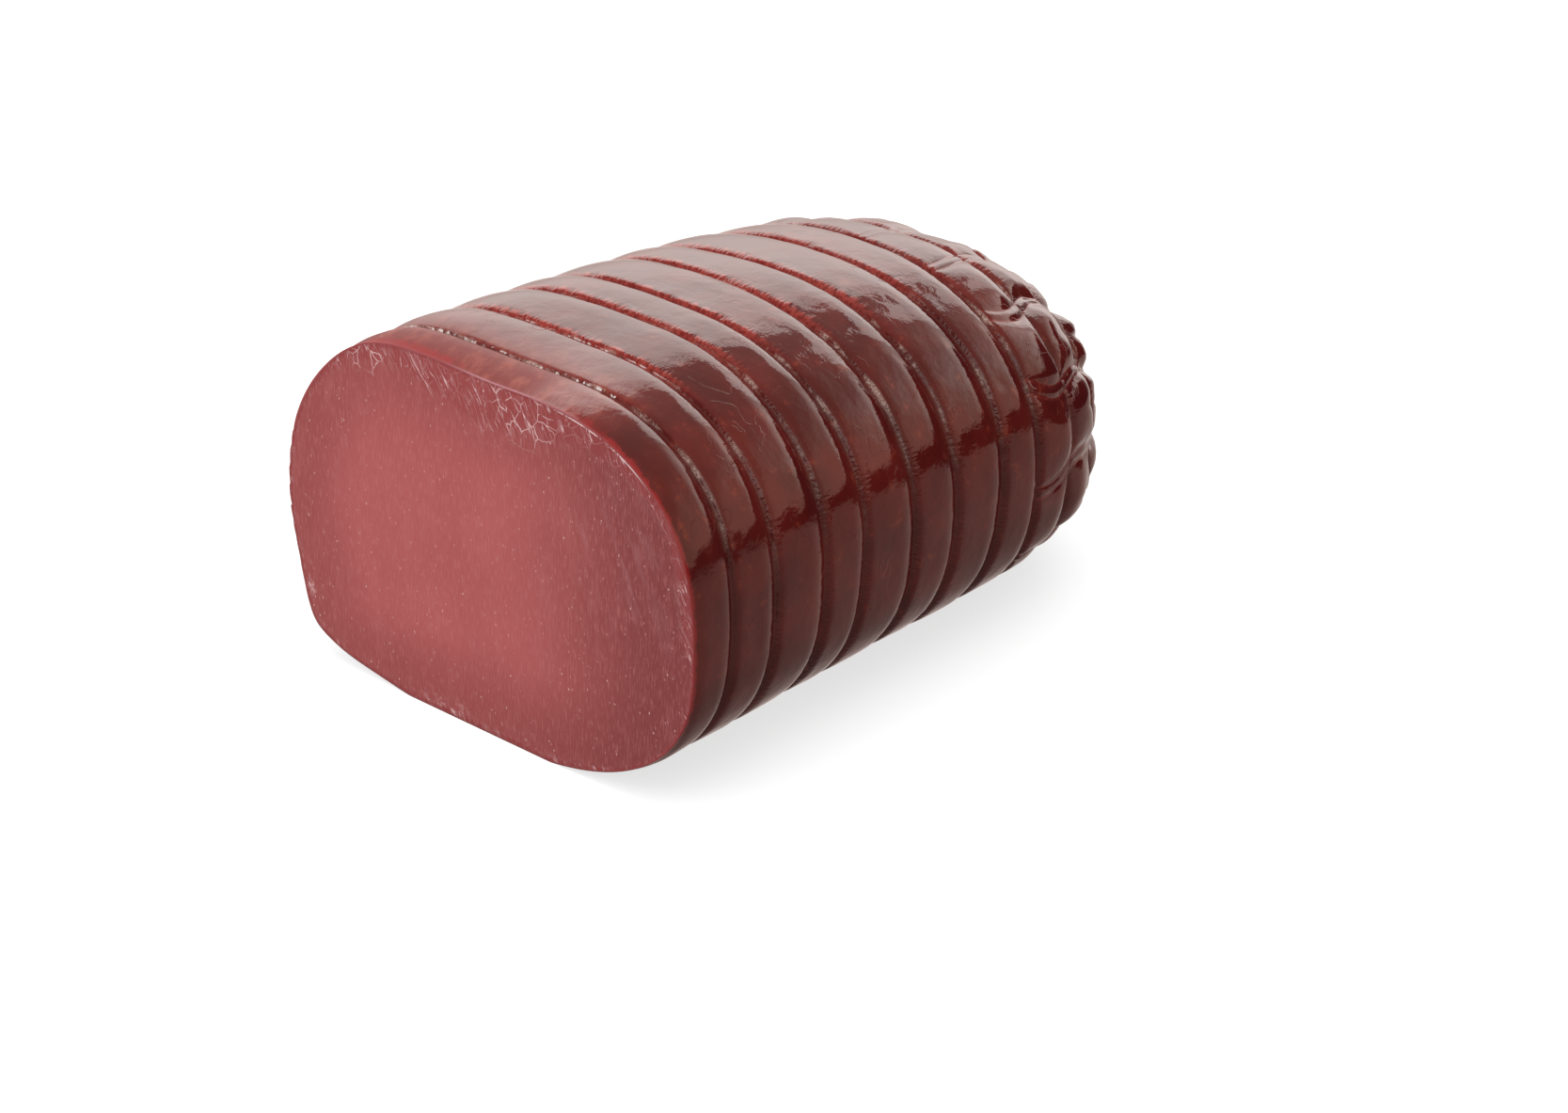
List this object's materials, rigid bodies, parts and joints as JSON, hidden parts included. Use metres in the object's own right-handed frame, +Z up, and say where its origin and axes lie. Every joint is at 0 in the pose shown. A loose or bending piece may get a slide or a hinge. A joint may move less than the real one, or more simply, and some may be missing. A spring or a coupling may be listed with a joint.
{
  "type": "bresaola",
  "caption": "Half of an air-dried cured beef log, cut across, with net-imprinted glossy skin, a flat pink-red cut face and a gathered tied end.",
  "frame": {"origin": "middle of the part's box on the floor that it rests on", "axes": "+Y along the log from the cut face to the tied end, +Z up, the cut face looks to -Y"},
  "size_m": [0.1348, 0.1782, 0.0891],
  "materials": {
    "meat": "wet glossy dark red-brown skin with a matt pink-red cut face"
  },
  "bodies": {
    "root": {"bresaola": "meat"}
  },
  "joints": []
}
